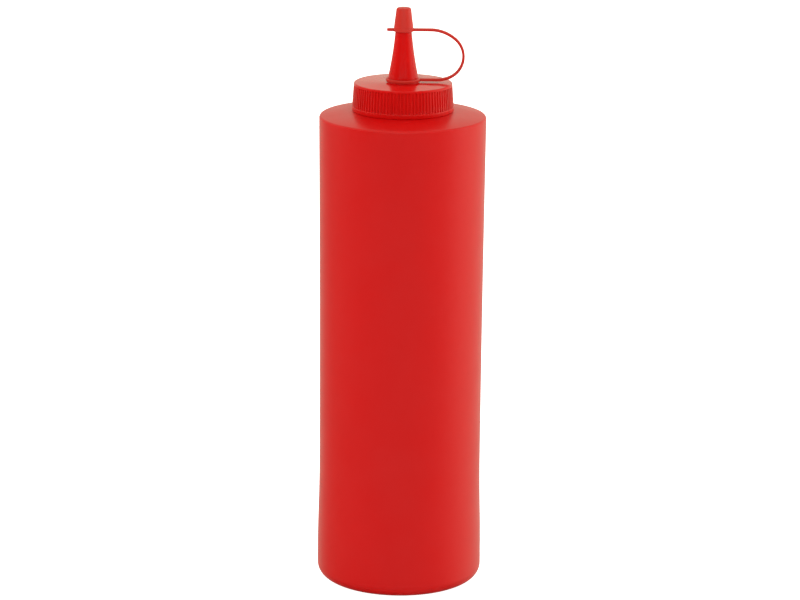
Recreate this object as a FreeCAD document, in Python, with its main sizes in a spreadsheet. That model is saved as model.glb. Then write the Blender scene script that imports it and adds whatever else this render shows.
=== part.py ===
import FreeCAD, Part
import math
import os
import re

import Sketcher

# A tall squeeze bottle for sauce, standing upright and shut. It has three mouldings:
#   bottle   blow-moulded soft polyethylene, slightly waisted, with a screw neck under the lid
#   lid      ribbed screw lid and tapered nozzle, injection-moulded in one piece
#   tip_cap  little cap on the nozzle's tip, with its pull tab, looped strap and retaining ring
#
# Frame: Z is the bottle's axis and points up, the foot stands on Z = 0, the strap loops out
# towards +X and the pull tab points towards -X. Millimetres and degrees throughout.

# Driving sizes. The first word of each line becomes the alias of a cell in the sheet.
SIZES = {
    # bottle
    "body_diameter": 70.4,          # at the shoulder
    "foot_step": 0.15,              # how far the foot stands out past the shoulder
    "waist_depth": 0.6,             # how far the waist draws in below the shoulder, on the radius
    "foot_height": 6.0,             # where the foot's widening starts
    "waist_height": 54.0,           # narrowest place of the waist
    "shoulder_height": 202.95,      # where the side meets the shoulder
    "shoulder_band": 6.0,           # height of the straight band under the shoulder
    "shoulder_rise": 2.3,           # from the shoulder's edge up to the land round the neck
    "shoulder_round": 1.6,
    "base_round": 5.4,
    "standing_ring": 4.0,           # width of the flat ring that the bottle stands on
    "push_up": 3.0,                 # height of the hollow inside the standing ring
    "push_up_round": 0.8,
    "neck_diameter": 37.4,
    "neck_height": 10.25,           # from the land up to the neck's lip
    "lip_chamfer": 0.6,
    # lid
    "rim_gap": 0.25,                # between the lid's rim and the land below it
    "land_margin": 0.4,             # how far the land reaches past the lid's rim
    "neck_clearance": 0.3,          # between the neck and the lid, on the radius
    "skirt_wall": 2.4,              # at the top of the rim band, ribs included
    "skirt_draft": 4.0,             # degrees
    "rim_step": 0.1,                # how far the rim band stands out past the ribs
    "rim_band": 1.7,                # height of the plain band at the rim
    "rim_round": 0.3,
    "lid_roof": 1.6,
    "lid_round": 0.8,
    "groove_count": 90,             # grooves round the skirt, with a rib between each two
    "groove_radius": 0.45,
    "groove_depth": 0.34,
    "groove_margin": 1.0,           # from the grooves' upper end to the lid's top
    # nozzle
    "seat_diameter": 12.0,          # the groove that holds the tip cap's ring
    "boss_step": 0.75,              # how far the boss under the ring stands out
    "boss_height": 0.6,
    "lip_step": 0.48,               # how far the lip above the ring stands out
    "lip_round": 0.25,
    "nozzle_length": 30.6,          # from the lid's top to the tip
    "nozzle_curve": 165.0,          # radius of the hollow curve up the nozzle
    "cap_seat_diameter": 6.9,       # nozzle at the tip cap's rim
    "tip_diameter": 4.6,
    "outlet_diameter": 2.2,
    "outlet_inner_diameter": 3.8,
    "outlet_depth": 16.0,
    # tip cap
    "socket_depth": 8.8,            # how much of the nozzle the tip cap covers
    "socket_clearance": 0.05,
    "cap_roof": 1.15,
    "cap_wall": 0.7,                # at the rim
    "cap_taper": 1.1,               # what the cap loses on the radius from rim to top
    "cap_round": 0.9,
    "flange_step": 0.25,            # how far the flange stands out past the cap
    "tab_reach": 7.0,               # from the axis to the end of the pull tab
    "tab_width": 2.4,
    "ring_wall": 1.05,
    "ring_thickness": 1.15,
    "ring_clearance": 0.2,          # between the ring and its groove, on the radius
    "ring_end_play": 0.1,           # between the ring and the lip above it
    "strap_width": 2.2,
    "strap_thickness": 1.15,
    "strap_round": 0.25,
    "loop_start": 11.3,             # from the axis to the first bend of the loop
    "upper_bend": 15.95,            # radius of the strap's centre line
    "upper_turn": 42.7,             # degrees
    "outer_turn": 119.2,            # degrees
    "lower_bend": 15.0,
}

# Sizes that follow from the driving ones, as expressions on the sheet's names.
BODY_RADIUS = "(body_diameter / 2)"
FOOT_RADIUS = "(body_diameter / 2 + foot_step)"
WAIST_RADIUS = "(body_diameter / 2 - waist_depth)"
LAND_HEIGHT = "(shoulder_height + shoulder_rise)"
POCKET_RADIUS = "(neck_diameter / 2 + neck_clearance)"
SKIRT_RADIUS = f"({POCKET_RADIUS} + skirt_wall)"
RIM_RADIUS = f"({SKIRT_RADIUS} + rim_step)"
LAND_RADIUS = f"({RIM_RADIUS} + land_margin)"
LID_SEAT = f"({LAND_HEIGHT} + rim_gap)"
POCKET_DEPTH = "(neck_height - rim_gap)"
LID_HEIGHT = f"({POCKET_DEPTH} + lid_roof)"
RING_SEAT = f"({LID_HEIGHT} + boss_height)"
NOZZLE_TIP = f"({LID_HEIGHT} + nozzle_length)"
RING_BORE = "(seat_diameter / 2 + ring_clearance)"
CAP_RIM = "(nozzle_length - boss_height - socket_depth)"
CAP_RADIUS = "(cap_seat_diameter / 2 + cap_wall)"
FLANGE_RADIUS = f"({CAP_RADIUS} + flange_step)"


def make_sheet(doc):
    """Put the driving sizes in a spreadsheet, one named cell each."""
    sheet = doc.addObject("Spreadsheet::Sheet", "sizes")
    for row, (name, number) in enumerate(SIZES.items(), start=1):
        sheet.set(f"A{row}", name)
        sheet.set(f"B{row}", str(number))
        sheet.setAlias(f"B{row}", name)
    doc.recompute()
    return sheet


def bound(expression):
    """Turn the sizes' names in an expression into references to the sheet's cells."""
    return re.sub(r"[a-z_]+", lambda word: f"sizes.{word[0]}" if word[0] in SIZES else word[0], expression)


def number(owner, expression):
    """What an expression of the sheet's names comes to."""
    return float(owner.evalExpression(bound(expression)))


def plane_sketch(body, name, role, height=None):
    """Add a sketch on one of a body's origin planes, or on a plane above it."""
    sketch = body.newObject("Sketcher::SketchObject", name)
    planes = [feature for feature in body.Origin.OriginFeatures if feature.Role == role]
    sketch.AttachmentSupport = [(planes[0], "")]
    sketch.MapMode = "FlatFace"
    if height is not None:
        sketch.setExpression("AttachmentOffset.Base.z", bound(height))
    return sketch


def constrain(sketch, kind, place, expression):
    """Add a dimension that follows an expression of the sheet's names."""
    index = sketch.addConstraint(Sketcher.Constraint(kind, *place, number(sketch, expression)))
    sketch.setExpression(f"Constraints[{index}]", bound(expression))


def arc_between(start, end, radius, turn):
    """The arc from start to end that turns left or right, as a curve."""
    chord = end - start
    rise = math.sqrt(radius ** 2 - (chord.Length / 2) ** 2)
    left = FreeCAD.Vector(-chord.y, chord.x, 0).normalize()
    centre = (start + end) / 2 + left * (rise if turn == "left" else -rise)
    first, last = (start, end) if turn == "left" else (end, start)
    angles = [math.atan2(point.y - centre.y, point.x - centre.x) for point in (first, last)]
    return Part.ArcOfCircle(Part.Circle(centre, FreeCAD.Vector(0, 0, 1), radius), *angles)


def draw(sketch, steps, closed=True):
    """Draw a chain of lines and arcs whose corners and radii follow the sheet.

    Each step is (x, y) for a straight line to that corner, or (x, y, radius, turn) for an arc
    to it. The first step is where the chain starts.
    """
    corners = [FreeCAD.Vector(number(sketch, step[0]), number(sketch, step[1]), 0) for step in steps]
    runs = list(zip(steps[1:], corners[:-1], corners[1:]))
    if closed:
        runs.append((steps[0], corners[-1], corners[0]))
    ends = []
    for step, start, end in runs:
        if len(step) == 2:
            edge = sketch.addGeometry(Part.LineSegment(start, end), False)
            ends.append((edge, 1, 2))
            continue
        curve = arc_between(start, end, number(sketch, step[2]), step[3])
        edge = sketch.addGeometry(curve, False)
        ends.append((edge, 1, 2) if step[3] == "left" else (edge, 2, 1))
        constrain(sketch, "Radius", (edge,), step[2])
    joints = list(zip(ends[:-1], ends[1:]))
    if closed:
        joints.append((ends[-1], ends[0]))
    for (edge, _, tail), (following, head, _) in joints:
        sketch.addConstraint(Sketcher.Constraint("Coincident", edge, tail, following, head))
    places = [(edge, head) for edge, head, _ in ends]
    if not closed:
        places.append((ends[-1][0], ends[-1][2]))
    for place, step in zip(places, steps):
        for kind, expression, axis in (("DistanceX", step[0], -2), ("DistanceY", step[1], -1)):
            if expression == "0":
                sketch.addConstraint(Sketcher.Constraint("PointOnObject", *place, axis))
            else:
                constrain(sketch, kind, place, expression)


def circle_sketch(body, name, radius, height):
    """Add a sketch of one circle on the axis, level and at a height."""
    sketch = plane_sketch(body, name, "XY_Plane", height)
    circle = Part.Circle(FreeCAD.Vector(0, 0, 0), FreeCAD.Vector(0, 0, 1), number(sketch, radius))
    edge = sketch.addGeometry(circle, False)
    sketch.addConstraint(Sketcher.Constraint("Coincident", edge, 3, -1, 1))
    constrain(sketch, "Radius", (edge,), radius)
    return sketch


def revolve(body, name, kind, steps):
    """Turn an outline round the axis, to add material (Revolution) or to cut it (Groove)."""
    sketch = plane_sketch(body, f"{name}_outline", "XZ_Plane")
    draw(sketch, steps)
    feature = body.newObject(f"PartDesign::{kind}", name)
    feature.Profile = sketch
    feature.ReferenceAxis = (sketch, ["V_Axis"])
    feature.Angle = 360
    return feature


def pad(body, name, kind, sketch, length, reverse=False):
    """Pad or pocket a sketch to a length that follows the sheet."""
    feature = body.newObject(f"PartDesign::{kind}", name)
    feature.Profile = sketch
    feature.Reversed = reverse
    feature.setExpression("Length", bound(length))
    return feature


def round_edges(body, name, rings, radius, kind="Fillet"):
    """Round or chamfer the circular edges round the axis, each given by its radius and height."""
    doc = body.Document
    doc.recompute()
    base = body.Tip
    wanted = [(number(body, ring), number(body, height)) for ring, height in rings]
    edges = []
    for index, edge in enumerate(base.Shape.Edges, start=1):
        if edge.Degenerated or not isinstance(edge.Curve, Part.Circle):
            continue
        centre = edge.Curve.Center
        for ring, height in wanted:
            near = abs(edge.Curve.Radius - ring) < 1e-4 and abs(centre.z - height) < 1e-4
            if near and math.hypot(centre.x, centre.y) < 1e-4:
                edges.append(f"Edge{index}")
    if len(edges) < len(rings):
        raise RuntimeError(f"{name}: an edge to round is missing")
    feature = body.newObject(f"PartDesign::{kind}", name)
    feature.Base = (base, edges)
    feature.setExpression("Radius" if kind == "Fillet" else "Size", bound(radius))
    return feature


def make_bottle(doc):
    """The blow-moulded bottle, shut and full, with its neck up inside the lid."""
    body = doc.addObject("PartDesign::Body", "bottle")
    hollow = f"({FOOT_RADIUS} - base_round - standing_ring)"
    hollow_curve = f"(({hollow} ^ 2 + push_up ^ 2) / (2 * push_up))"
    # The side leaves the foot and reaches the waist upright, in two equal and opposite arcs.
    flare_rise = "((waist_height - foot_height) / 2)"
    flare_step = "((waist_depth + foot_step) / 2)"
    flare = f"(({flare_rise} ^ 2 + {flare_step} ^ 2) / (2 * {flare_step}))"
    side_top = "(shoulder_height - shoulder_band)"
    side_rise = f"({side_top} - waist_height)"
    side = f"(({side_rise} ^ 2 + waist_depth ^ 2) / (2 * waist_depth))"
    neck_top = f"({LAND_HEIGHT} + neck_height)"
    revolve(body, "blown_body", "Revolution", [
        ("0", "push_up"),
        (hollow, "0", hollow_curve, "right"),
        (FOOT_RADIUS, "0"),
        (FOOT_RADIUS, "foot_height"),
        (f"{FOOT_RADIUS} - {flare_step}", f"foot_height + {flare_rise}", flare, "left"),
        (WAIST_RADIUS, "waist_height", flare, "right"),
        (BODY_RADIUS, side_top, side, "right"),
        (BODY_RADIUS, "shoulder_height"),
        (LAND_RADIUS, LAND_HEIGHT),
        ("neck_diameter / 2", LAND_HEIGHT),
        ("neck_diameter / 2", neck_top),
        ("0", neck_top),
    ])
    round_edges(body, "base_corner", [(FOOT_RADIUS, "0")], "base_round")
    round_edges(body, "shoulder_corner", [(BODY_RADIUS, "shoulder_height")], "shoulder_round")
    round_edges(body, "push_up_corner", [(hollow, "0")], "push_up_round")
    round_edges(body, "neck_lip", [("neck_diameter / 2", neck_top)], "lip_chamfer", "Chamfer")
    return body


def make_lid(doc):
    """The screw lid and its nozzle: one moulding, grooved round the skirt for grip."""
    body = doc.addObject("PartDesign::Body", "lid")
    body.setExpression("Placement.Base.z", bound(LID_SEAT))
    skirt_top = f"({SKIRT_RADIUS} - tan(skirt_draft) * ({LID_HEIGHT} - rim_band))"
    boss = "(seat_diameter / 2 + boss_step)"
    lip = "(seat_diameter / 2 + lip_step)"
    lip_height = f"({RING_SEAT} + ring_thickness + ring_end_play)"
    revolve(body, "lid_and_nozzle", "Revolution", [
        ("0", "0"),
        (RIM_RADIUS, "0"),
        (RIM_RADIUS, "rim_band"),
        (SKIRT_RADIUS, "rim_band"),
        (skirt_top, LID_HEIGHT),
        (boss, LID_HEIGHT),
        (boss, RING_SEAT),
        ("seat_diameter / 2", RING_SEAT),
        ("seat_diameter / 2", lip_height),
        (lip, lip_height),
        ("cap_seat_diameter / 2", f"{RING_SEAT} + {CAP_RIM}", "nozzle_curve", "right"),
        ("tip_diameter / 2", NOZZLE_TIP),
        ("0", NOZZLE_TIP),
    ])
    round_edges(body, "lid_corner", [(skirt_top, LID_HEIGHT)], "lid_round")
    round_edges(body, "rim_corner", [(RIM_RADIUS, "0")], "rim_round")
    round_edges(body, "lip_corner", [(lip, lip_height)], "lip_round")
    revolve(body, "neck_pocket", "Groove", [
        ("0", "0"),
        (POCKET_RADIUS, "0"),
        (POCKET_RADIUS, POCKET_DEPTH),
        ("0", POCKET_DEPTH),
    ])
    outlet_floor = f"{NOZZLE_TIP} - outlet_depth"
    revolve(body, "outlet", "Groove", [
        ("0", outlet_floor),
        ("outlet_inner_diameter / 2", outlet_floor),
        ("outlet_diameter / 2", NOZZLE_TIP),
        ("0", NOZZLE_TIP),
    ])
    grip_grooves(body)
    return body


def grip_grooves(body):
    """Cut one round-bottomed groove up the drafted skirt, and repeat it all the way round."""
    groove_top = f"({LID_HEIGHT} - groove_margin)"
    ends = []
    for name, height in (("groove_foot", "rim_band"), ("groove_head", groove_top)):
        skirt = f"({SKIRT_RADIUS} - tan(skirt_draft) * ({height} - rim_band))"
        sketch = plane_sketch(body, name, "XY_Plane", height)
        centre = FreeCAD.Vector(number(body, f"{skirt} + groove_radius - groove_depth"), 0, 0)
        circle = Part.Circle(centre, FreeCAD.Vector(0, 0, 1), number(body, "groove_radius"))
        edge = sketch.addGeometry(circle, False)
        sketch.addConstraint(Sketcher.Constraint("PointOnObject", edge, 3, -1))
        constrain(sketch, "DistanceX", (edge, 3), f"{skirt} + groove_radius - groove_depth")
        constrain(sketch, "Radius", (edge,), "groove_radius")
        ends.append(sketch)
    groove = body.newObject("PartDesign::SubtractiveLoft", "groove")
    groove.Profile = ends[0]
    groove.Sections = [ends[1]]
    groove.Ruled = True
    pattern = body.newObject("PartDesign::PolarPattern", "grooves")
    pattern.Originals = [groove]
    pattern.Axis = (ends[0], ["N_Axis"])
    pattern.Angle = 360
    pattern.setExpression("Occurrences", bound("groove_count"))
    body.Tip = pattern


def strap_path(body):
    """The strap's centre line: out from the cap's flange, round in three bends, back to the ring."""
    sketch = plane_sketch(body, "strap_path", "XZ_Plane")
    top = f"({CAP_RIM} + strap_thickness / 2)"
    bottom = "(strap_thickness / 2)"
    bent = "(upper_turn + outer_turn)"
    # The outer bend takes up whatever drop the upper and lower bends leave.
    left_over = f"({top} - {bottom} - upper_bend * (1 - cos(upper_turn)) - lower_bend * (1 + cos({bent})))"
    outer_bend = f"({left_over} / (cos(upper_turn) - cos({bent})))"
    steps = [("0", top), ("loop_start", top)]
    across, height, turned = "loop_start", top, "0"
    for radius, turn_end in (("upper_bend", "upper_turn"), (outer_bend, bent), ("lower_bend", "180")):
        across = f"({across} + {radius} * (sin({turn_end}) - sin({turned})))"
        height = f"({height} - {radius} * (cos({turned}) - cos({turn_end})))"
        steps.append((across, height, radius, "right"))
        turned = turn_end
    steps.append(("0", bottom))
    draw(sketch, steps, closed=False)
    return sketch


def strap_section(body):
    """The strap's cross-section: flat, with rounded corners, square to the start of its path."""
    sketch = plane_sketch(body, "strap_section", "YZ_Plane")
    side = "(strap_width / 2)"
    flat = "(strap_width / 2 - strap_round)"
    low, high = CAP_RIM, f"({CAP_RIM} + strap_thickness)"
    draw(sketch, [
        (f"-{flat}", low),
        (flat, low),
        (side, f"{low} + strap_round", "strap_round", "left"),
        (side, f"{high} - strap_round"),
        (flat, high, "strap_round", "left"),
        (f"-{flat}", high),
        (f"-{side}", f"{high} - strap_round", "strap_round", "left"),
        (f"-{side}", f"{low} + strap_round"),
        (f"-{flat}", low, "strap_round", "left"),
    ], closed=False)
    return sketch


def make_tip_cap(doc):
    """The tip cap, pull tab, strap and ring: one soft moulding, its ring held under the lip."""
    body = doc.addObject("PartDesign::Body", "tip_cap")
    body.setExpression("Placement.Base.z", bound(f"{LID_SEAT} + {RING_SEAT}"))
    ceiling = f"({CAP_RIM} + socket_depth)"
    cap_top = f"({ceiling} + cap_roof)"
    crown = f"({CAP_RADIUS} - cap_taper)"
    revolve(body, "cap", "Revolution", [
        ("0", CAP_RIM),
        (FLANGE_RADIUS, CAP_RIM),
        (FLANGE_RADIUS, f"{CAP_RIM} + strap_thickness"),
        (CAP_RADIUS, f"{CAP_RIM} + strap_thickness"),
        (crown, cap_top),
        ("0", cap_top),
    ])
    round_edges(body, "cap_corner", [(crown, cap_top)], "cap_round")
    strap = body.newObject("PartDesign::AdditivePipe", "strap")
    strap.Profile = strap_section(body)
    strap.Spine = strap_path(body)
    ring = circle_sketch(body, "ring_outline", f"{RING_BORE} + ring_wall", "0")
    pad(body, "ring", "Pad", ring, "ring_thickness")
    tab = plane_sketch(body, "tab_outline", "XY_Plane", CAP_RIM)
    tab_flat = "(tab_reach - tab_width / 2)"
    draw(tab, [
        ("0", "tab_width / 2"),
        (f"-{tab_flat}", "tab_width / 2"),
        ("-tab_reach", "0", "tab_width / 2", "left"),
        (f"-{tab_flat}", "-tab_width / 2", "tab_width / 2", "left"),
        ("0", "-tab_width / 2"),
    ])
    pad(body, "tab", "Pad", tab, "strap_thickness")
    revolve(body, "socket", "Groove", [
        ("0", CAP_RIM),
        ("cap_seat_diameter / 2 + socket_clearance", CAP_RIM),
        ("tip_diameter / 2 + socket_clearance", ceiling),
        ("0", ceiling),
    ])
    bore = circle_sketch(body, "ring_bore_outline", RING_BORE, "0")
    pad(body, "ring_bore", "Pocket", bore, "ring_thickness + strap_thickness", reverse=True)
    return body


def check(doc, bodies):
    """Stop if any object failed to build, or if a moulding isn't one valid solid."""
    for item in doc.Objects:
        if {"Invalid", "Error"} & set(item.State):
            raise RuntimeError(f"{item.Label} failed: {item.State}")
    for body in bodies:
        shape = body.Shape
        if shape.isNull() or not shape.isValid() or len(shape.Solids) != 1:
            raise RuntimeError(f"{body.Label} isn't one valid solid")
        for feature in body.Group:
            if feature.isDerivedFrom("Sketcher::SketchObject") and feature.solve() != 0:
                raise RuntimeError(f"{feature.Label} can't be solved")
            cuts = feature.isDerivedFrom("PartDesign::Groove") or feature.isDerivedFrom("PartDesign::Pocket")
            if cuts and feature.Shape.Volume > feature.BaseFeature.Shape.Volume - 1e-3:
                raise RuntimeError(f"{feature.Label} cuts nothing")


def main():
    doc = FreeCAD.newDocument("squeeze_bottle")
    make_sheet(doc)
    bodies = [make_bottle(doc), make_lid(doc), make_tip_cap(doc)]
    doc.recompute()
    check(doc, bodies)
    os.makedirs("parts", exist_ok=True)
    for body in bodies:
        body.Shape.exportStep(f"parts/{body.Label}.step")
        box = body.Shape.BoundBox
        print(body.Label, "volume", round(body.Shape.Volume, 1), "faces", len(body.Shape.Faces),
              "box", [round(edge, 2) for edge in (box.XMin, box.YMin, box.ZMin, box.XMax, box.YMax, box.ZMax)])


main()
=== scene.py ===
"""The looks of a red squeeze bottle for sauce: bottle, ribbed lid with nozzle, tip cap on its strap.

Every piece is drawn in millimetres in the CAD model's frame, and turned to metres when it is done.
The mouldings' outer sizes come from the CAD boxes; the rest are named below.
"""

import math

import bmesh
import bpy
from mathutils import Matrix, Vector


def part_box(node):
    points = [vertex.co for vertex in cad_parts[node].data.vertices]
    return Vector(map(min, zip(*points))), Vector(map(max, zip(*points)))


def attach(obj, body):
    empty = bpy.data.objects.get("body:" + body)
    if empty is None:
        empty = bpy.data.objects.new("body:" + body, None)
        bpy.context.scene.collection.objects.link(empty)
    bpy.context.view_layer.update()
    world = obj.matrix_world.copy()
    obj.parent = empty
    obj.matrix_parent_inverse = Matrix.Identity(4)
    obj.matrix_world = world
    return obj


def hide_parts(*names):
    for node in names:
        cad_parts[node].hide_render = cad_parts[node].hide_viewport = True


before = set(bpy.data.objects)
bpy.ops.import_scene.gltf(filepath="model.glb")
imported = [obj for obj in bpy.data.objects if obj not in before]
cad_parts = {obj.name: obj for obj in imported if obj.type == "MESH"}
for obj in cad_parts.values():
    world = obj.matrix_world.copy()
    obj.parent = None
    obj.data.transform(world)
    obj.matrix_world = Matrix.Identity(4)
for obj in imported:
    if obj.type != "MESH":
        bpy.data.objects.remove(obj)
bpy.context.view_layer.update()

MM = 0.001
FULL_TURN = math.tau
UP = Vector((0, 0, 1))
LEFT, RIGHT = 1, -1
touching = 0.001                                # two points nearer than this are one
crease = math.radians(30)                       # an edge sharper than this is shaded sharp


def box_mm(node):
    """A CAD node's lowest and highest corners, in millimetres."""
    low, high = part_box(node)
    return low / MM, high / MM


bottle_high = box_mm("bottle")[1]
lid_low, lid_high = box_mm("lid")
cap_low, cap_high = box_mm("tip_cap")

# Bottle
foot_radius = bottle_high.x
foot_overhang = 0.15
body_radius = foot_radius - foot_overhang
waist_depth = 0.6
waist_radius = body_radius - waist_depth
foot_height = 6.0
waist_height = 54.0
shoulder_height = 202.95
shoulder_band = 6.0
shoulder_rise = 2.3
shoulder_round = 1.0
base_round = 5.4
standing_ring = 4.0
push_up = 3.0
push_up_round = 0.8
neck_radius = 18.7
lip_chamfer = 0.6
parting_width = 0.5
parting_height = 0.05
pinch_off_length = 26.0
pinch_off_width = 1.0
pinch_off_height = 0.5
pinch_off_depth = 1.5                           # from its crest down into the wall
pinch_off_round = 0.3

# Lid, measured up from its rim
rim_radius = lid_high.x
neck_clearance = 0.3
pocket_radius = neck_radius + neck_clearance
pocket_depth = bottle_high.z - lid_low.z
lid_roof = 1.6
lid_height = pocket_depth + lid_roof
land_overhang = 0.4
land_radius = rim_radius + land_overhang
rim_step = 0.1
rim_band = 1.7
rim_round = 0.3
rim_sag = 0.2                                   # the rim all but rests on the bottle's land
skirt_radius = rim_radius - rim_step
skirt_draft = math.radians(4)
lid_round = 0.5
groove_count = 90
groove_margin = 1.0
groove_top = lid_height - groove_margin
groove_faces = 3                                # side by side round each groove
rib_faces = 2                                   # and round each rib
groove_steps = ((0.08, 0.34), (0.12, 0.14))     # the slope's width and depth, from its edge inwards
eased_edge = 0.065
hard_edge = math.radians(40)                    # an edge sharper than this is eased

# Nozzle, measured up from the lid's rim
nozzle_tip = lid_high.z - lid_low.z
seat_radius = 6.0
boss_ledge = 0.75
boss_radius = seat_radius + boss_ledge
boss_height = 0.6
boss_round = 0.25
lip_overhang = 0.48
lip_radius = seat_radius + lip_overhang
lip_round = 0.1
nozzle_curve = 165.0
cap_seat_radius = 3.45
tip_radius = 2.3
outlet_radius = 1.1
outlet_inner_radius = 1.9
outlet_depth = 16.0

# Tip cap, measured up from its ring's underside
ring_thickness = 1.23
ring_round = 0.45
ring_clearance = 0.2
ring_bore = seat_radius + ring_clearance
ring_wall = 1.05
ring_end_play = 0.02
cap_roof = 1.15
socket_depth = 8.8
socket_clearance = 0.05
cap_wall = 0.7
cap_radius = cap_seat_radius + cap_wall
cap_taper = 1.1
cap_round = 0.9
flange_overhang = 0.25
flange_radius = cap_radius + flange_overhang
edge_round = 0.18
root = 0.3                                      # how far outside a bore what grows from its wall starts
tab_reach = 7.0
tab_width = 2.4
strap_width = 2.2
strap_thickness = 1.15
strap_round = 0.25
loop_start = 11.3
upper_bend = 15.95
upper_turn = math.radians(42.7)
outer_turn = math.radians(119.2)
lower_bend = 15.0
cap_rim = cap_high.z - cap_low.z - cap_roof - socket_depth


# --- shapes ---------------------------------------------------------------------------------


def arc(start, end, radius, turn, steps):
    """Points along the arc from start to end, which turns LEFT or RIGHT; start is left out."""
    start, end = Vector(start), Vector(end)
    chord = end - start
    rise = math.sqrt(radius ** 2 - (chord.length / 2) ** 2)
    centre = (start + end) / 2 + Vector((-chord.y, chord.x)).normalized() * rise * turn
    spread = 2 * math.asin(chord.length / 2 / radius) * turn
    spoke = start - centre
    return [centre + Matrix.Rotation(spread * step / steps, 2) @ spoke for step in range(1, steps + 1)]


def upright_arc(radial, rise):
    """The radius of an arc that starts upright and moves by radial while it climbs by rise."""
    return (rise ** 2 + radial ** 2) / (2 * radial)


def outline(bm, points, rounds, closed=False):
    """Draw a line of edges in the XZ plane and round some corners, each given by its place and radius."""
    verts = [bm.verts.new((x, 0, z)) for x, z in points]
    for start, end in zip(verts, verts[1:] + (verts[:1] if closed else [])):
        bm.edges.new((start, end))
    for index, radius, segments in rounds:
        corner = verts[index]
        sides = [edge.other_vert(corner).co - corner.co for edge in corner.link_edges]
        reach = radius / math.tan(sides[0].angle(sides[1]) / 2)
        bmesh.ops.bevel(bm, geom=[corner], offset=reach, offset_type="OFFSET", segments=segments,
                        profile=0.5, affect="VERTICES", material=-1)


def turn_round(bm, steps):
    """Spin an outline all the way round the Z axis, and close its seam and poles."""
    bmesh.ops.spin(bm, geom=bm.verts[:] + bm.edges[:], cent=(0, 0, 0), axis=UP, dvec=(0, 0, 0),
                   angle=FULL_TURN, steps=steps, use_merge=True, use_normal_flip=False,
                   use_duplicate=False)
    tidy(bm)


def tidy(bm):
    """Merge doubled points and turn every face outwards."""
    bmesh.ops.remove_doubles(bm, verts=bm.verts[:], dist=touching)
    bmesh.ops.dissolve_degenerate(bm, dist=touching / 2, edges=bm.edges[:])
    bmesh.ops.recalc_face_normals(bm, faces=bm.faces[:])


def smoothed(mesh):
    """Shade a mesh smooth, but for its creases."""
    mesh.shade_smooth()
    mesh.set_sharp_from_angle(angle=crease)


def finished(bm, name, lift=0.0):
    """Turn a shape in millimetres, drawn lift below its place, into a piece in metres."""
    bmesh.ops.translate(bm, verts=bm.verts[:], vec=(0, 0, lift))
    bmesh.ops.scale(bm, verts=bm.verts[:], vec=(MM, MM, MM))
    mesh = bpy.data.meshes.new(name)
    bm.to_mesh(mesh)
    bm.free()
    smoothed(mesh)
    piece = bpy.data.objects.new(name, mesh)
    bpy.context.scene.collection.objects.link(piece)
    return piece


def weld(piece, *parts):
    """Unite parts with a piece into one closed moulding."""
    for part in parts:
        union = piece.modifiers.new("union", "BOOLEAN")
        union.operation = "UNION"
        union.solver = "EXACT"
        union.object = part
    graph = bpy.context.evaluated_depsgraph_get()
    mesh = bpy.data.meshes.new_from_object(piece.evaluated_get(graph))
    piece.modifiers.clear()
    piece.data = mesh
    for part in parts:
        bpy.data.objects.remove(part)
    smoothed(mesh)


def draw_section(bm, width, height, corner):
    """Draw a round-cornered rectangle round the origin, upright and square to the X axis."""
    bmesh.ops.create_grid(bm, x_segments=1, y_segments=1, size=0.5)
    bmesh.ops.scale(bm, verts=bm.verts[:], vec=(width, height, 1))
    bmesh.ops.bevel(bm, geom=bm.verts[:], offset=corner, offset_type="OFFSET", segments=3, profile=0.5,
                    affect="VERTICES", material=-1)
    stand = Matrix(((0, 0, 1), (1, 0, 0), (0, 1, 0)))
    bmesh.ops.transform(bm, matrix=stand.to_4x4(), verts=bm.verts[:])


def soft_edges(piece):
    """Ease every hard edge of a moulding by a small bevel."""
    bevel = piece.modifiers.new("eased edges", "BEVEL")
    bevel.width = eased_edge * MM
    bevel.segments = 2
    bevel.limit_method = "ANGLE"
    bevel.angle_limit = hard_edge


# --- bottle ---------------------------------------------------------------------------------


def make_bottle():
    """The blow-moulded wall from its hollow base up over the shoulder, and the neck inside the lid."""
    bm = bmesh.new()
    land_height = shoulder_height + shoulder_rise
    hollow = foot_radius - base_round - standing_ring
    flare_rise = (waist_height - foot_height) / 2
    flare_step = (foot_radius - waist_radius) / 2
    flare = upright_arc(flare_step, flare_rise)
    foot = (foot_radius, foot_height)
    mid_flare = (foot_radius - flare_step, foot_height + flare_rise)
    waist = (waist_radius, waist_height)
    band = (body_radius, shoulder_height - shoulder_band)
    side = upright_arc(body_radius - waist_radius, band[1] - waist_height)
    neck_top = bottle_high.z

    below = [(0, push_up), *arc((0, push_up), (hollow, 0), upright_arc(push_up, hollow), RIGHT, 12)]
    side_points = [foot, *arc(foot, mid_flare, flare, LEFT, 8), *arc(mid_flare, waist, flare, RIGHT, 8),
                   *arc(waist, band, side, RIGHT, 24)]
    top = [(body_radius, shoulder_height), (land_radius, land_height), (neck_radius, land_height),
           (neck_radius, neck_top), (0, neck_top)]
    base_corner = len(below)
    shoulder = base_corner + 1 + len(side_points)
    outline(bm, [*below, (foot_radius, 0), *side_points, *top],
            [(base_corner - 1, push_up_round, 4), (base_corner, base_round, 12),
             (shoulder, shoulder_round, 8), (shoulder + 3, lip_chamfer, 1)])
    turn_round(bm, 180)
    raise_parting_line(bm, land_height)
    piece = finished(bm, "bottle_wall")
    weld(piece, make_pinch_off())
    return piece


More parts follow.
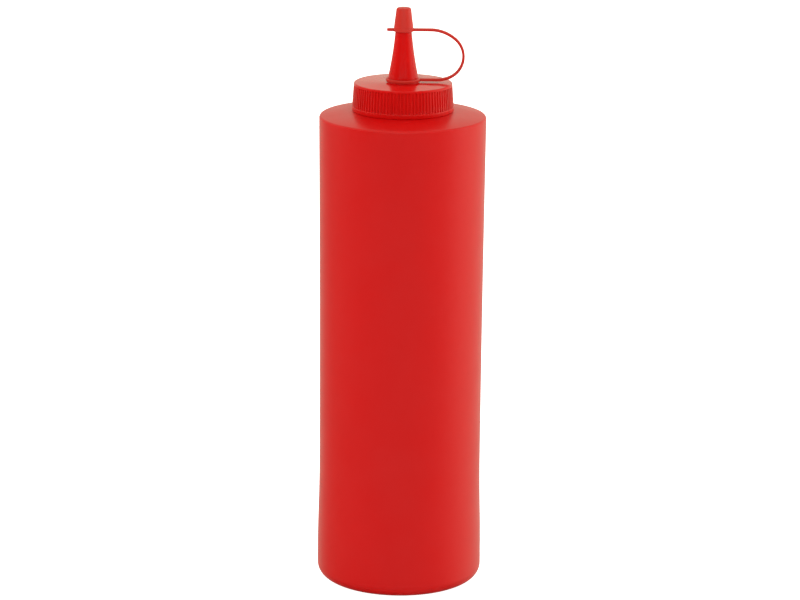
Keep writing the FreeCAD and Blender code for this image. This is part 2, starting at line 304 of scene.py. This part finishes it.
def raise_parting_line(bm, land_height):
    """Raise the fine line that the two mould halves leave up both sides, which fades out at the foot."""
    def on_plane(vert):
        return abs(vert.co.y) < touching and abs(vert.co.x) > land_radius and vert.co.z > foot_height

    seam = [edge for edge in bm.edges if all(map(on_plane, edge.verts))]
    bmesh.ops.bevel(bm, geom=seam, offset=parting_width / 2, offset_type="OFFSET", segments=2,
                    profile=0.5, affect="EDGES", material=-1)
    bm.normal_update()
    for vert in bm.verts:
        if on_plane(vert) and abs(vert.co.x) < foot_radius - parting_height:
            bmesh.ops.translate(bm, verts=[vert], vec=vert.normal * parting_height)


def make_pinch_off():
    """The ridge across the hollow base, where the mould pinched the tube of plastic shut."""
    bm = bmesh.new()
    dome = upright_arc(push_up, foot_radius - base_round - standing_ring)
    centre = Vector((0, 0, push_up - dome))
    reach = pinch_off_length / 2 / dome
    middle = push_up - pinch_off_height + pinch_off_depth / 2
    draw_section(bm, pinch_off_width, pinch_off_depth, pinch_off_round)
    turned = Matrix.Rotation(-reach, 3, "Y")
    bmesh.ops.transform(bm, matrix=turned.to_4x4(), verts=bm.verts[:])
    start = turned @ Vector((0, 0, middle - centre.z)) + centre
    bmesh.ops.translate(bm, verts=bm.verts[:], vec=start)
    bmesh.ops.spin(bm, geom=bm.verts[:] + bm.edges[:] + bm.faces[:], cent=centre, axis=(0, 1, 0),
                   dvec=(0, 0, 0), angle=2 * reach, steps=16, use_merge=False, use_normal_flip=False,
                   use_duplicate=False)
    tidy(bm)
    return finished(bm, "pinch_off_part")


# --- lid ------------------------------------------------------------------------------------


def skirt(height):
    """The skirt's radius at a height above the rim, over the ribs."""
    return skirt_radius - math.tan(skirt_draft) * (height - rim_band)


def make_lid():
    """The screw lid and nozzle, with a round-bottomed groove between each two ribs of the skirt."""
    bm = bmesh.new()
    ring_seat = lid_height + boss_height
    lip_height = ring_seat + ring_thickness + ring_end_play
    lip = (lip_radius, lip_height)
    cap_seat = (cap_seat_radius, ring_seat + cap_rim)
    outlet_floor = nozzle_tip - outlet_depth
    points = [(0, pocket_depth), (pocket_radius, pocket_depth), (pocket_radius, -rim_sag),
              (rim_radius, -rim_sag), (rim_radius, rim_band - rim_step), (skirt(rim_band), rim_band),
              (skirt(groove_top), groove_top), (skirt(lid_height), lid_height),
              (boss_radius, lid_height), (boss_radius, ring_seat),
              (seat_radius, ring_seat), (seat_radius, lip_height), lip,
              *arc(lip, cap_seat, nozzle_curve, RIGHT, 16),
              (tip_radius, nozzle_tip), (outlet_radius, nozzle_tip),
              (outlet_inner_radius, outlet_floor), (0, outlet_floor)]
    outline(bm, points, [(3, rim_round, 3), (7, lid_round, 6), (8, boss_round, 3), (9, edge_round, 2),
                         (12, lip_round, 3)])
    repeat = groove_faces + rib_faces
    turn_round(bm, repeat * groove_count)
    grooves = []
    for face in bm.faces:
        middle = face.calc_center_median()
        on_skirt = rim_band < middle.z < groove_top and math.hypot(middle.x, middle.y) > pocket_radius
        turned = (math.atan2(middle.y, middle.x) % FULL_TURN) / FULL_TURN
        if on_skirt and int(turned * repeat * groove_count) % repeat < groove_faces:
            grooves.append(face)
    for slope, depth in groove_steps:
        bmesh.ops.inset_region(bm, faces=grooves, thickness=slope, depth=-depth, use_boundary=True,
                               use_even_offset=True)
    piece = finished(bm, "lid_moulding", lift=lid_low.z)
    soft_edges(piece)
    return piece


# --- tip cap --------------------------------------------------------------------------------


def make_cap_shell():
    """The thimble over the nozzle's tip, with its flange and its tapered socket."""
    bm = bmesh.new()
    ceiling = cap_rim + socket_depth
    cap_top = ceiling + cap_roof
    points = [(0, ceiling), (tip_radius + socket_clearance, ceiling),
              (cap_seat_radius + socket_clearance, cap_rim), (flange_radius, cap_rim),
              (flange_radius, cap_rim + strap_thickness), (cap_radius, cap_rim + strap_thickness),
              (cap_radius - cap_taper, cap_top), (0, cap_top)]
    outline(bm, points, [(3, edge_round, 3), (4, edge_round, 3), (6, cap_round, 8)])
    turn_round(bm, 96)
    return finished(bm, "tip_cap_moulding", lift=cap_low.z)


def make_ring():
    """The ring that the lip of the nozzle holds down."""
    bm = bmesh.new()
    inner, outer = ring_bore, ring_bore + ring_wall
    points = [(inner, 0), (outer, 0), (outer, ring_thickness), (inner, ring_thickness)]
    outline(bm, points, [(0, edge_round, 3), (1, edge_round, 3), (2, ring_round, 5), (3, edge_round, 3)],
            closed=True)
    turn_round(bm, 96)
    return finished(bm, "ring_part", lift=cap_low.z)


def bounded(front):
    """An end face with its edges and corners, each once and in the same order on every run."""
    edges = dict.fromkeys(edge for face in front for edge in face.edges)
    verts = dict.fromkeys(vert for face in front for vert in face.verts)
    return [*front, *edges, *verts]


def run_on(bm, front, offset):
    """Extrude an end face straight on, and give back the new end face."""
    made = bmesh.ops.extrude_face_region(bm, geom=bounded(front))["geom"]
    bmesh.ops.translate(bm, verts=[part for part in made if isinstance(part, bmesh.types.BMVert)], vec=offset)
    return [part for part in made if isinstance(part, bmesh.types.BMFace)]


def bend_on(bm, front, centre, turn, steps):
    """Spin an end face on round a bend, and give back the new end face."""
    made = bmesh.ops.spin(bm, geom=bounded(front), cent=centre, axis=(0, 1, 0), dvec=(0, 0, 0),
                          angle=turn, steps=steps, use_merge=False, use_normal_flip=False,
                          use_duplicate=False)["geom_last"]
    return [part for part in made if isinstance(part, bmesh.types.BMFace)]


def make_strap():
    """The strap: a flat section run out from the cap, round three bends and back to the ring."""
    bm = bmesh.new()
    clear = 0.01                                # keeps its faces off the flange's and the ring's
    middle = cap_rim + strap_thickness / 2
    bent = upper_turn + outer_turn
    left_over = cap_rim - upper_bend * (1 - math.cos(upper_turn)) - lower_bend * (1 + math.cos(bent))
    outer_bend = left_over / (math.cos(upper_turn) - math.cos(bent))
    start = cap_seat_radius + socket_clearance + root
    draw_section(bm, strap_width, strap_thickness - 2 * clear, strap_round)
    bmesh.ops.translate(bm, verts=bm.verts[:], vec=(start, 0, middle))

    front = run_on(bm, bm.faces[:], (loop_start - start, 0, 0))
    place = Vector((loop_start, 0, middle))
    down = Vector((0, 0, -1))
    for radius, turn, steps in ((upper_bend, upper_turn, 14), (outer_bend, outer_turn, 36),
                                (lower_bend, math.pi - bent, 8)):
        centre = place + down * radius
        front = bend_on(bm, front, centre, turn, steps)
        turned = Matrix.Rotation(turn, 3, "Y")
        place = centre + turned @ (place - centre)
        down = turned @ down
    run_on(bm, front, (ring_bore + root - place.x, 0, 0))
    tidy(bm)
    return finished(bm, "strap_part", lift=cap_low.z)


def make_tab():
    """The pull tab: a round-ended tongue level with the flange."""
    bm = bmesh.new()
    clear = 0.02                                # keeps its faces off the flange's and the strap's
    half = tab_width / 2
    tip_round = half * 0.999                    # just short of half, so that the tip's edge isn't lost
    inner = cap_seat_radius + root
    flat = tab_reach - half
    bmesh.ops.create_grid(bm, x_segments=1, y_segments=1, size=0.5)
    bmesh.ops.scale(bm, verts=bm.verts[:], vec=(tab_reach - inner, tab_width, 1))
    bmesh.ops.translate(bm, verts=bm.verts[:], vec=(-(inner + tab_reach) / 2, 0, cap_rim + clear))
    bmesh.ops.bevel(bm, geom=[vert for vert in bm.verts if vert.co.x < -flat], offset=tip_round,
                    offset_type="OFFSET", segments=8, profile=0.5, affect="VERTICES", material=-1)
    run_on(bm, bm.faces[:], (0, 0, strap_thickness - 2 * clear))
    tidy(bm)
    rims = [edge for edge in bm.edges if abs(edge.verts[0].co.z - edge.verts[1].co.z) < 0.01]
    bmesh.ops.bevel(bm, geom=rims, offset=edge_round, offset_type="OFFSET", segments=2, profile=0.5,
                    affect="EDGES", material=-1)
    return finished(bm, "tab_part", lift=cap_low.z)


def make_tip_cap():
    """The tip cap, its strap, its ring and its pull tab, as one moulding."""
    piece = make_cap_shell()
    weld(piece, make_strap(), make_ring(), make_tab())
    return piece


# --- materials ------------------------------------------------------------------------------


def linear(code):
    """An sRGB hex colour as linear RGBA."""
    parts = [int(code[place:place + 2], 16) / 255 for place in (1, 3, 5)]
    return (*[part / 12.92 if part <= 0.04045 else ((part + 0.055) / 1.055) ** 2.4 for part in parts], 1)


def add(tree, kind, settings=None, links=None):
    """Add a node, with what its sockets and properties are set to and what feeds its sockets."""
    node = tree.nodes.new(kind)
    for name, what in (settings or {}).items():
        if isinstance(name, int) or name in node.inputs:
            node.inputs[name].default_value = what
        else:
            setattr(node, name, what)
    for name, source in (links or {}).items():
        tree.links.new(source, node.inputs[name])
    return node


def blank(data, name):
    """A named material or world with an empty node tree."""
    owner = data.new(name)
    owner.use_nodes = True
    owner.node_tree.nodes.clear()
    return owner, owner.node_tree


def per_metre(size):
    """The texture scale that repeats every so many millimetres."""
    return 1 / (size * MM)


def clouds(tree, place, size, detail):
    """A noise in clouds about so many millimetres wide."""
    noise = add(tree, "ShaderNodeTexNoise", {"Scale": per_metre(size), "Detail": detail}, {"Vector": place})
    return noise.outputs["Fac"]


def tint(tree, noise, first, second):
    """A colour that drifts from one sRGB hex colour to another."""
    mix = add(tree, "ShaderNodeMix", {"data_type": "RGBA", 6: linear(first), 7: linear(second)},
              {"Factor": noise})
    return mix.outputs[2]


def drift(tree, noise, low, high):
    """A roughness that drifts between two values over the noise's usual range."""
    spread = add(tree, "ShaderNodeMapRange",
                 {"From Min": 0.3, "From Max": 0.7, "To Min": low, "To Max": high}, {"Value": noise})
    return spread.outputs["Result"]


def relief(tree, noise, height, under=None):
    """A relief of so many millimetres, over another one where that is given."""
    links = {"Height": noise}
    if under is not None:
        links["Normal"] = under
    return add(tree, "ShaderNodeBump", {"Distance": height * MM}, links).outputs["Normal"]


def polyethylene(tree, colour, roughness, normal):
    """Polyethylene's own shine, which is the same on all three mouldings."""
    shader = add(tree, "ShaderNodeBsdfPrincipled", {"IOR": 1.51, "Specular IOR Level": 0.35},
                 {"Base Color": colour, "Roughness": roughness, "Normal": normal})
    add(tree, "ShaderNodeOutputMaterial", None, {"Surface": shader.outputs["BSDF"]})


def blown_polyethylene():
    """Low-density polyethylene, blow-moulded: satin, a little uneven where the tube stretched."""
    material, tree = blank(bpy.data.materials, "red LDPE, blow-moulded, satin")
    place = add(tree, "ShaderNodeTexCoord").outputs["Object"]
    # The pigment follows the plastic as it stretched upwards, in clouds some 25 mm wide.
    drawn = add(tree, "ShaderNodeMapping", {"Scale": (1, 1, 0.25)}, {"Vector": place}).outputs["Vector"]
    colour = tint(tree, clouds(tree, drawn, 25, 3.0), "#ca0808", "#c50707")
    # Handling polishes the satin in patches about as wide as a fingertip.
    satin = drift(tree, clouds(tree, place, 14, 4.0), 0.29, 0.35)
    # The mould's blasted grain is about 0.1 mm. It is drawn at 0.7 mm, as finer can't show.
    grain = relief(tree, clouds(tree, place, 0.7, 2.0), 0.004)
    # The wall waves gently, by up to 0.1 mm, where the tube was blown out unevenly.
    waves = relief(tree, clouds(tree, drawn, 40, 1.0), 0.1, under=grain)
    polyethylene(tree, colour, satin, waves)
    return material


def lid_polyethylene():
    """Polyethylene, injection-moulded in a turned steel mould: semi-gloss, with fine turning rings."""
    material, tree = blank(bpy.data.materials, "red PE, injection-moulded, semi-gloss")
    place = add(tree, "ShaderNodeTexCoord").outputs["Object"]
    # The pigment and the gloss drift together, in clouds where the melt flowed.
    flow = clouds(tree, place, 9, 2.0)
    # The turning rings are about 0.1 mm apart, and are drawn at 0.6 mm, as finer can't show.
    rings = add(tree, "ShaderNodeTexWave", {"wave_type": "RINGS", "rings_direction": "Z",
                                            "Scale": per_metre(0.6) / FULL_TURN, "Distortion": 0.4},
                {"Vector": place})
    polyethylene(tree, tint(tree, flow, "#cd0e0c", "#c70c0b"), drift(tree, flow, 0.14, 0.19),
                 relief(tree, rings.outputs["Fac"], 0.002))
    return material


def cap_polyethylene():
    """Soft polyethylene, injection-moulded: a shade lighter than the lid, and waxy from handling."""
    material, tree = blank(bpy.data.materials, "red soft PE, injection-moulded, waxy")
    place = add(tree, "ShaderNodeTexCoord").outputs["Object"]
    # Colour, wax and a faint unevenness of the skin go together, in patches of some 4 mm.
    patch = clouds(tree, place, 4, 3.0)
    polyethylene(tree, tint(tree, patch, "#c62a20", "#c1261d"), drift(tree, patch, 0.32, 0.4),
                 relief(tree, patch, 0.01))
    return material


for piece, node, slot, finish in (
        (make_bottle(), "bottle", "bottle_wall", blown_polyethylene()),
        (make_lid(), "lid", "lid_moulding", lid_polyethylene()),
        (make_tip_cap(), "tip_cap", "tip_cap_moulding", cap_polyethylene())):
    piece.data.materials.clear()
    piece.data.materials.append(finish)
    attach(piece, "root")
    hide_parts(node)

# --- stage, light and camera ----------------------------------------------------------------

scene = bpy.context.scene
scene.view_settings.view_transform = "Standard"


def make_floor():
    """A pale floor that throws light back up at the object, and that the camera sees as plain white."""
    floor_reach = 4000
    bm = bmesh.new()
    bmesh.ops.create_grid(bm, x_segments=1, y_segments=1, size=floor_reach)
    floor = finished(bm, "floor")
    material, tree = blank(bpy.data.materials, "pale floor")
    rays = add(tree, "ShaderNodeLightPath")
    matt = add(tree, "ShaderNodeBsdfDiffuse", {"Color": linear("#f2f2f2")})
    lift = add(tree, "ShaderNodeEmission", {"Color": (1, 1, 1, 1)})
    tree.links.new(rays.outputs["Is Camera Ray"], lift.inputs["Strength"])
    both = add(tree, "ShaderNodeAddShader", None, {0: matt.outputs["BSDF"], 1: lift.outputs["Emission"]})
    add(tree, "ShaderNodeOutputMaterial", None, {"Surface": both.outputs["Shader"]})
    floor.data.materials.append(material)
    floor.visible_glossy = False                # so that the gloss shows the tent all round


def ramp(tree, factor, stops):
    """A warm white whose level runs through the stops, each a place from 0 to 1 and a level."""
    warm = linear("#fffae4")
    node = add(tree, "ShaderNodeValToRGB", None, {"Fac": factor})
    elements = node.color_ramp.elements
    while len(elements) < len(stops):
        elements.new(1.0)
    for element, (position, level) in zip(elements, stops):
        element.position = position
        element.color = [level * part for part in warm[:3]] + [1]
    return node.outputs["Color"]


def make_world():
    """A light tent: bright above, and round the bottle white behind and on the right.

    Its front is open, so low in front and on the left the gloss finds it dim.
    """
    # The walls' levels are given by degrees round from the front, to the right where above 0.
    wall_levels = ((-180, 0.8), (-150, 0.6), (-125, 0.35), (-90, 0.2), (-60, 0.08), (0, 0.03), (45, 0.08),
                   (60, 0.3), (78, 0.65), (98, 1.0), (125, 0.9), (150, 0.75), (180, 0.8))
    # The roof's are given by height, from the horizon at 0 to straight up at 1.
    roof_levels = ((0.3, 1.0), (0.7, 0.75), (1.0, 0.55))
    world, tree = blank(bpy.data.worlds, "light tent")
    scene.world = world
    rays = add(tree, "ShaderNodeLightPath")
    heading = add(tree, "ShaderNodeSeparateXYZ", None,
                  {"Vector": add(tree, "ShaderNodeTexCoord").outputs["Generated"]})
    forward = add(tree, "ShaderNodeMath", {"operation": "MULTIPLY", 1: -1.0}, {0: heading.outputs["Y"]})
    azimuth = add(tree, "ShaderNodeMath", {"operation": "ARCTAN2"},
                  {0: heading.outputs["X"], 1: forward.outputs[0]})
    around = add(tree, "ShaderNodeMapRange", {"From Min": -math.pi, "From Max": math.pi},
                 {"Value": azimuth.outputs[0]})
    walls = ramp(tree, around.outputs["Result"],
                 [(degrees / 360 + 0.5, level) for degrees, level in wall_levels])
    roof = ramp(tree, heading.outputs["Z"], roof_levels)
    height = add(tree, "ShaderNodeMapRange", {"From Min": 0.25, "From Max": 0.5},
                 {"Value": heading.outputs["Z"]})
    tent = add(tree, "ShaderNodeMix", {"data_type": "RGBA"},
               {"Factor": height.outputs["Result"], 6: walls, 7: roof})
    strength = add(tree, "ShaderNodeMapRange", {"To Min": 1.0, "To Max": 0.85},
                   {"Value": height.outputs["Result"]})
    # Towards straight down the tent dims to a tenth: a painted shadow of the bottle on the floor, which the
    # gloss sees there in place of the floor.
    painted_floor_shadow = add(tree, "ShaderNodeMapRange", {"From Min": -0.75, "From Max": -0.35, "To Min": 0.1},
                 {"Value": heading.outputs["Z"]})
    shaded = add(tree, "ShaderNodeMath", {"operation": "MULTIPLY"},
                 {0: strength.outputs["Result"], 1: painted_floor_shadow.outputs["Result"]})
    inside = add(tree, "ShaderNodeBackground", None,
                 {"Color": tent.outputs[2], "Strength": shaded.outputs[0]})
    white = add(tree, "ShaderNodeBackground", {"Color": (1, 1, 1, 1), "Strength": 1.0})
    through = add(tree, "ShaderNodeMath", {"operation": "MAXIMUM"},
                  {0: rays.outputs["Is Camera Ray"], 1: rays.outputs["Is Transmission Ray"]})
    seen = add(tree, "ShaderNodeMixShader", None,
               {"Fac": through.outputs[0], 1: inside.outputs[0], 2: white.outputs[0]})
    add(tree, "ShaderNodeOutputWorld", None, {"Surface": seen.outputs[0]})


def add_lamp(name, place, size, power):
    """A soft rectangular lamp aimed at the bottle. The gloss doesn't show it, but the tent instead."""
    aim = Vector((0, 0, 0.12))
    light = bpy.data.lights.new(name, "AREA")
    light.shape = "RECTANGLE"
    light.size, light.size_y = size
    light.energy = power
    lamp = bpy.data.objects.new(name, light)
    lamp.location = place
    lamp.visible_glossy = False
    lamp.rotation_euler = (aim - Vector(place)).to_track_quat("-Z", "Y").to_euler()
    scene.collection.objects.link(lamp)


def add_camera():
    """A long lens, a little above the bottle and looking down on it."""
    lens = bpy.data.cameras.new("camera")
    lens.sensor_width = 36
    lens.lens = 150.66
    lens.clip_end = 20
    camera = bpy.data.objects.new("camera", lens)
    place = [part * MM for part in (-0.478, -1385, 480.5)]
    tilt = math.radians(14.49)
    roll = math.radians(0.525)
    turned = Matrix.Rotation(math.pi / 2 - tilt, 4, "X") @ Matrix.Rotation(roll, 4, "Z")
    camera.matrix_world = Matrix.Translation(place) @ turned
    scene.collection.objects.link(camera)
    scene.camera = camera


make_floor()
make_world()
for name, place, size, power in (
        ("right softbox", (1.2, 0.1, 0.4), (0.9, 1.2), 7.5),
        ("left softbox", (-1.3, 0.1, 0.4), (0.9, 1.2), 8.3),
        ("front fill", (0, -1.5, 0.9), (2.2, 1.0), 13.5),
        ("top softbox", (0, 0.3, 1.3), (2.4, 2.4), 8.5)):
    add_lamp(name, place, size, power)
add_camera()
